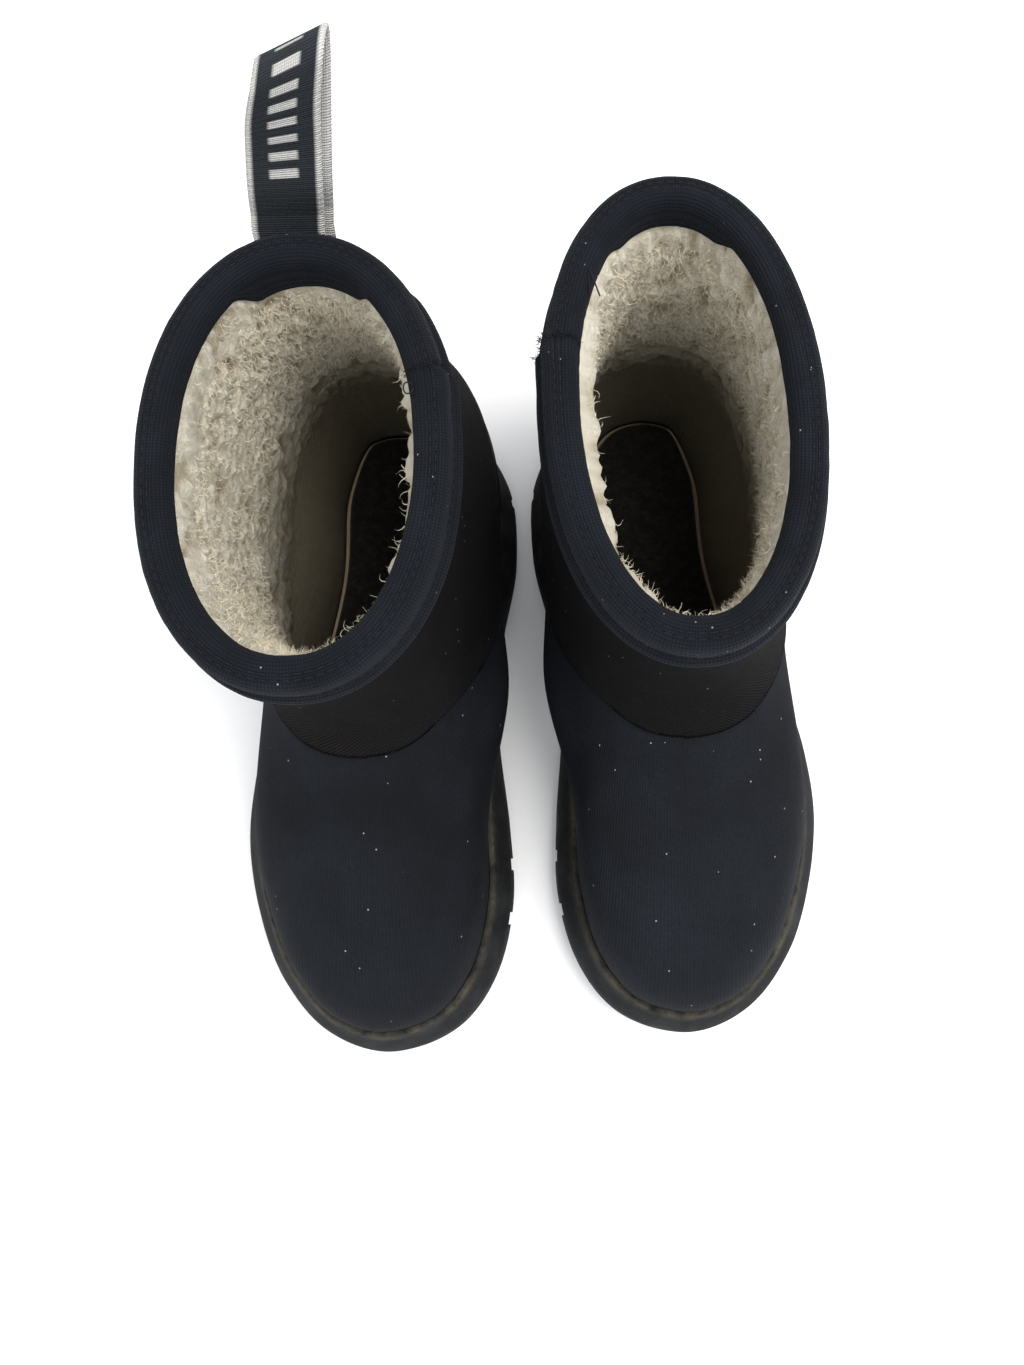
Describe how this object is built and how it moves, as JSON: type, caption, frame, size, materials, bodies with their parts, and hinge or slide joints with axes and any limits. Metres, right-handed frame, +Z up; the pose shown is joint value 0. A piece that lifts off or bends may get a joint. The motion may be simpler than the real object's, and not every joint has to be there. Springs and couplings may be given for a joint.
{
  "type": "pile-lined pull-on winter boots",
  "caption": "Pair of short pull-on winter boots with rubber cup soles, twill shafts, knit-bound collars, a pile lining and webbing pull loops.",
  "frame": {"origin": "on the ground, below the centre of the pair's overall box", "axes": "+Z up, -Y towards the toes, +X from the right boot towards the left boot"},
  "size_m": [0.2146, 0.2607, 0.2314],
  "materials": {
    "sole_rubber": "matt, scuffed grey side wall",
    "foam": "matt EVA foam",
    "shank_steel": "plain strip",
    "fibre_board": "pressed cellulose board",
    "felt": "needled felt with lint",
    "vamp_cloth": "fine brushed weather-proof cloth, matt",
    "heel_panel": "rubber-coated panel, satin",
    "stiffener": "moulded thermoplastic sheet",
    "shaft_twill": "twill canvas, matt",
    "knit_binding": "ribbed knit tape, matt",
    "thread_black": "sewing thread",
    "pile_lining": "cream pile, matted",
    "webbing": "woven tape with pale selvedges",
    "thread_light": "bar tack thread"
  },
  "bodies": {
    "right_boot": {"right_outsole": "sole_rubber", "right_midsole": "foam", "right_shank": "shank_steel", "right_lasting_board": "fibre_board", "right_vamp": "vamp_cloth", "right_heel_overlay": "heel_panel", "right_heel_counter": "stiffener", "right_toe_puff": "stiffener", "right_shaft": "shaft_twill", "right_collar_binding": "knit_binding", "right_collar_stitching": "thread_black", "right_shaft_lining": "pile_lining", "right_foot_lining": "pile_lining", "right_loop_root": "webbing", "right_loop_bartack": "thread_light"},
    "left_boot": {"left_outsole": "sole_rubber", "left_midsole": "foam", "left_shank": "shank_steel", "left_lasting_board": "fibre_board", "left_vamp": "vamp_cloth", "left_heel_overlay": "heel_panel", "left_heel_counter": "stiffener", "left_toe_puff": "stiffener", "left_shaft": "shaft_twill", "left_collar_binding": "knit_binding", "left_collar_stitching": "thread_black", "left_shaft_lining": "pile_lining", "left_foot_lining": "pile_lining", "left_loop_root": "webbing", "left_loop_bartack": "thread_light"},
    "right_loop": {"right_pull_loop": "webbing"},
    "right_footbed": {"right_footbed": "felt"},
    "left_loop": {"left_pull_loop": "webbing"},
    "left_footbed": {"left_footbed": "felt"}
  },
  "joints": [
    {"name": "right_loop_fold", "type": "hinge", "parent": "right_boot", "child": "right_loop", "pos_m": [-0.05892, 0.10847, 0.1714], "axis": [0.9998, -0.0197, 0], "range_deg": [-150, 0], "stiffness_Nm_per_rad": 0.003, "springref_deg": 20.05},
    {"name": "left_loop_fold", "type": "hinge", "parent": "left_boot", "child": "left_loop", "pos_m": [0.04551, 0.11642, 0.1714], "axis": [0.9998, 0.0197, 0], "range_deg": [0, 170]},
    {"name": "right_footbed_lift", "type": "hinge", "parent": "right_boot", "child": "right_footbed", "pos_m": [-0.05375, -0.11135, 0.0223], "axis": [0.9998, -0.0197, 0], "range_deg": [0, 8]},
    {"name": "left_footbed_lift", "type": "hinge", "parent": "left_boot", "child": "left_footbed", "pos_m": [0.05375, -0.10875, 0.0223], "axis": [0.9998, 0.0197, 0], "range_deg": [0, 8]},
    {"name": "pair_spacing", "type": "slide", "parent": "right_boot", "child": "left_boot", "axis": [1, 0, 0], "range_m": [0, 0.2]}
  ]
}
